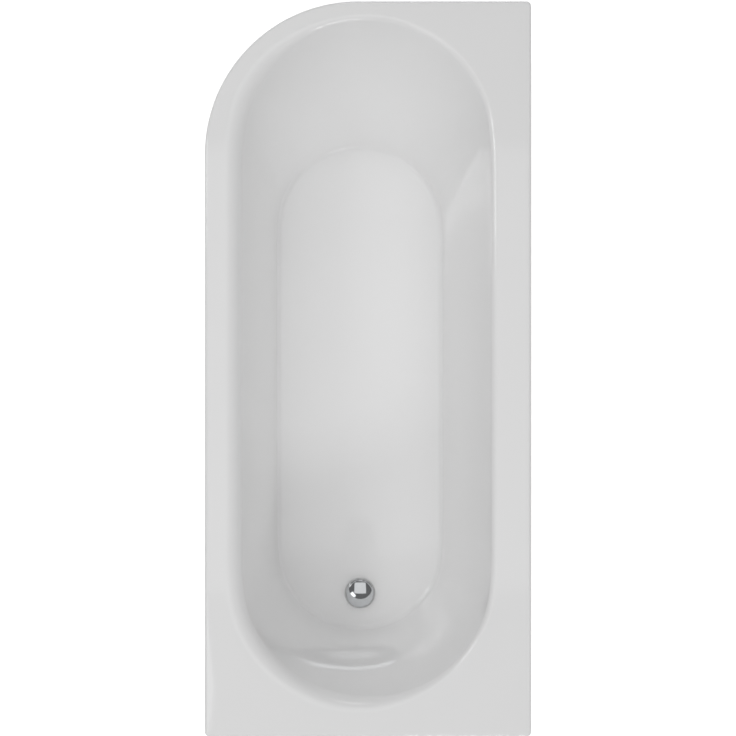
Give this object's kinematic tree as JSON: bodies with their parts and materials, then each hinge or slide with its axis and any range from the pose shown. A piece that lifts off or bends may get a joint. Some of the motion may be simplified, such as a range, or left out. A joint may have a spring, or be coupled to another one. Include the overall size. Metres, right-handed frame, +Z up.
{
  "type": "bathtub",
  "caption": "White acrylic single-ended bathtub with one rounded free corner, a sloping backrest, levelling legs, a curved skirt and a press-to-open chrome waste.",
  "frame": {"origin": "middle of the overall plan, on the floor of the room under the feet", "axes": "+X across the bath towards the long wall, +Y along it towards the head, +Z up"},
  "size_m": [0.755, 1.7, 0.56],
  "materials": {
    "white_acrylic": "high gloss",
    "glass_fibre": "rough sprayed resin",
    "chipboard": "raw board",
    "softwood": "sawn and planed",
    "galvanised_steel": "galvanised",
    "zinc_plated_steel": "bright zinc",
    "black_nylon": "moulded",
    "chrome_plate": "polished chrome",
    "black_rubber": "moulded",
    "white_polythene": "moulded",
    "brass": "turned",
    "spring_steel": "drawn wire"
  },
  "bodies": {
    "tub": {"bath_shell": "white_acrylic", "front_panel": "white_acrylic", "glassfibre_backing": "glass_fibre", "baseboard": "chipboard", "rim_batten_front": "softwood", "rim_batten_wall": "softwood", "rim_batten_foot": "softwood", "cradle_head": "galvanised_steel", "cradle_foot": "galvanised_steel", "centre_bracket": "galvanised_steel", "wall_bracket_head": "galvanised_steel", "wall_bracket_foot": "galvanised_steel", "cradle_screws": "zinc_plated_steel", "clip_screws": "zinc_plated_steel", "bracket_screws": "zinc_plated_steel", "panel_clips": "black_nylon", "waste_flange": "chrome_plate", "flange_seal": "black_rubber", "under_washer": "black_rubber", "slip_washer": "white_polythene", "back_nut": "white_polythene", "cartridge_body": "brass", "plug_spring": "spring_steel"},
    "plug": {"plug_cap": "chrome_plate", "plug_seal": "black_rubber", "plunger": "brass"},
    "leg_centre": {"leg_rod_centre": "zinc_plated_steel", "foot_pad_centre": "black_nylon"},
    "nuts_centre": {"leg_nuts_centre": "zinc_plated_steel"},
    "leg_head_front": {"leg_rod_head_front": "zinc_plated_steel", "foot_pad_head_front": "black_nylon"},
    "nuts_head_front": {"leg_nuts_head_front": "zinc_plated_steel"},
    "leg_head_wall": {"leg_rod_head_wall": "zinc_plated_steel", "foot_pad_head_wall": "black_nylon"},
    "nuts_head_wall": {"leg_nuts_head_wall": "zinc_plated_steel"},
    "leg_foot_front": {"leg_rod_foot_front": "zinc_plated_steel", "foot_pad_foot_front": "black_nylon"},
    "nuts_foot_front": {"leg_nuts_foot_front": "zinc_plated_steel"},
    "leg_foot_wall": {"leg_rod_foot_wall": "zinc_plated_steel", "foot_pad_foot_wall": "black_nylon"},
    "nuts_foot_wall": {"leg_nuts_foot_wall": "zinc_plated_steel"}
  },
  "joints": [
    {"name": "plug_press", "type": "slide", "parent": "tub", "child": "plug", "axis": [0, 0, -1], "range_m": [0, 0.009], "stiffness_N_per_m": 400, "springref_m": -0.008, "deforming": ["plug_spring"]},
    {"name": "leg_centre_level", "type": "slide", "parent": "tub", "child": "leg_centre", "axis": [0, 0, -1], "range_m": [-0.012, 0.025]},
    {"name": "nuts_centre_turn", "type": "hinge", "parent": "tub", "child": "nuts_centre", "pos_m": [-0.021, 0, 0.1], "axis": [0, 0, 1], "continuous": true},
    {"name": "leg_head_front_level", "type": "slide", "parent": "tub", "child": "leg_head_front", "axis": [0, 0, -1], "range_m": [-0.012, 0.025]},
    {"name": "nuts_head_front_turn", "type": "hinge", "parent": "tub", "child": "nuts_head_front", "pos_m": [-0.271, 0.33, 0.1], "axis": [0, 0, 1], "continuous": true},
    {"name": "leg_head_wall_level", "type": "slide", "parent": "tub", "child": "leg_head_wall", "axis": [0, 0, -1], "range_m": [-0.012, 0.025]},
    {"name": "nuts_head_wall_turn", "type": "hinge", "parent": "tub", "child": "nuts_head_wall", "pos_m": [0.229, 0.33, 0.1], "axis": [0, 0, 1], "continuous": true},
    {"name": "leg_foot_front_level", "type": "slide", "parent": "tub", "child": "leg_foot_front", "axis": [0, 0, -1], "range_m": [-0.012, 0.025]},
    {"name": "nuts_foot_front_turn", "type": "hinge", "parent": "tub", "child": "nuts_foot_front", "pos_m": [-0.271, -0.33, 0.1], "axis": [0, 0, 1], "continuous": true},
    {"name": "leg_foot_wall_level", "type": "slide", "parent": "tub", "child": "leg_foot_wall", "axis": [0, 0, -1], "range_m": [-0.012, 0.025]},
    {"name": "nuts_foot_wall_turn", "type": "hinge", "parent": "tub", "child": "nuts_foot_wall", "pos_m": [0.229, -0.33, 0.1], "axis": [0, 0, 1], "continuous": true}
  ],
  "couplings": [
    {"joint": "nuts_centre_turn", "follows": "leg_centre_level", "rad_per_m": 4188.8},
    {"joint": "nuts_head_front_turn", "follows": "leg_head_front_level", "rad_per_m": 4188.8},
    {"joint": "nuts_head_wall_turn", "follows": "leg_head_wall_level", "rad_per_m": 4188.8},
    {"joint": "nuts_foot_front_turn", "follows": "leg_foot_front_level", "rad_per_m": 4188.8},
    {"joint": "nuts_foot_wall_turn", "follows": "leg_foot_wall_level", "rad_per_m": 4188.8}
  ]
}
